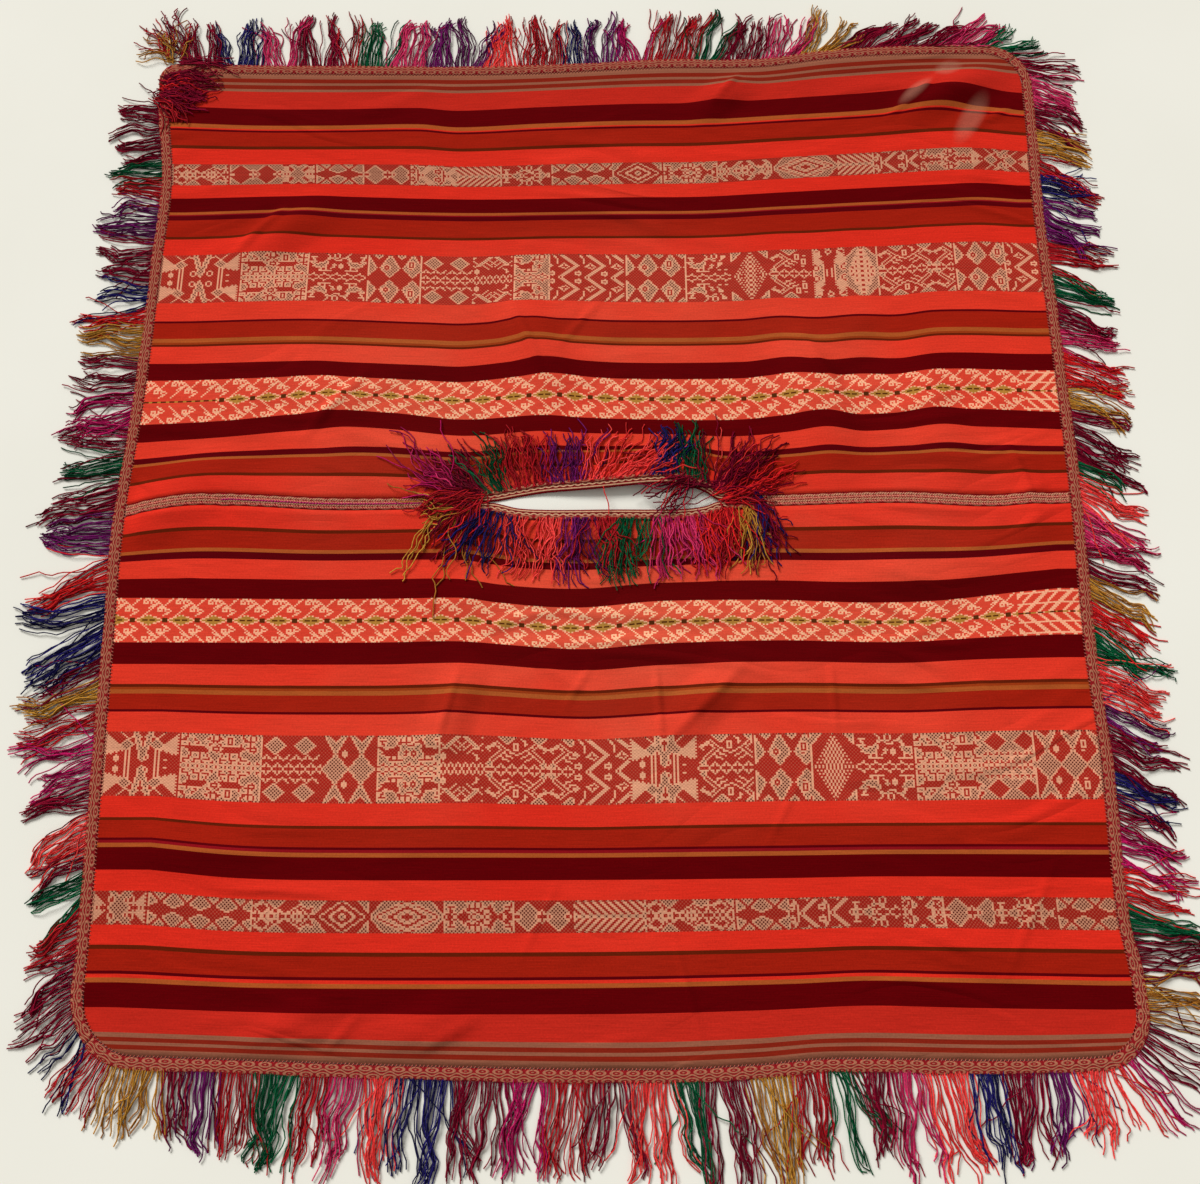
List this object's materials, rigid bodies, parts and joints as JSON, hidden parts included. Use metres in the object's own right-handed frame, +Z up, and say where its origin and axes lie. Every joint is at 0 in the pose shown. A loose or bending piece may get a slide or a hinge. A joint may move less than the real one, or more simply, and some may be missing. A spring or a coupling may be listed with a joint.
{
  "type": "fringed woven poncho",
  "caption": "Warp-striped poncho of two joined woven panels laid flat, with a bordered neck slit, a stitched seam, and a woven edge band and fringe all round",
  "frame": {"origin": "under the middle of the part's box, on the floor it lies on", "axes": "+X along the warp and the stripes, +Y across them towards the upper panel, +Z up from the floor"},
  "size_m": [1.5058, 1.6398, 0.0158],
  "materials": {
    "cloth": "warp-faced wool cloth in red, coral, maroon, brick and ochre stripes with patterned bands",
    "seam": "close joining stitches in tan and rose wool",
    "band": "narrow woven band in red wool with tan wave lines",
    "fringe": "plied wool yarns in wine, red, coral, rose, navy, green and ochre"
  },
  "bodies": {
    "root": {"panel_upper": "cloth", "panel_lower": "cloth", "seam_left": "seam", "seam_right": "seam", "neck_border_upper": "band", "neck_border_lower": "band", "neck_fringe_upper": "fringe", "neck_fringe_lower": "fringe", "edge_band_left": "band", "edge_band_bottom": "band", "edge_band_right": "band", "edge_band_top": "band", "corner_fringe": "fringe"}
  },
  "joints": []
}
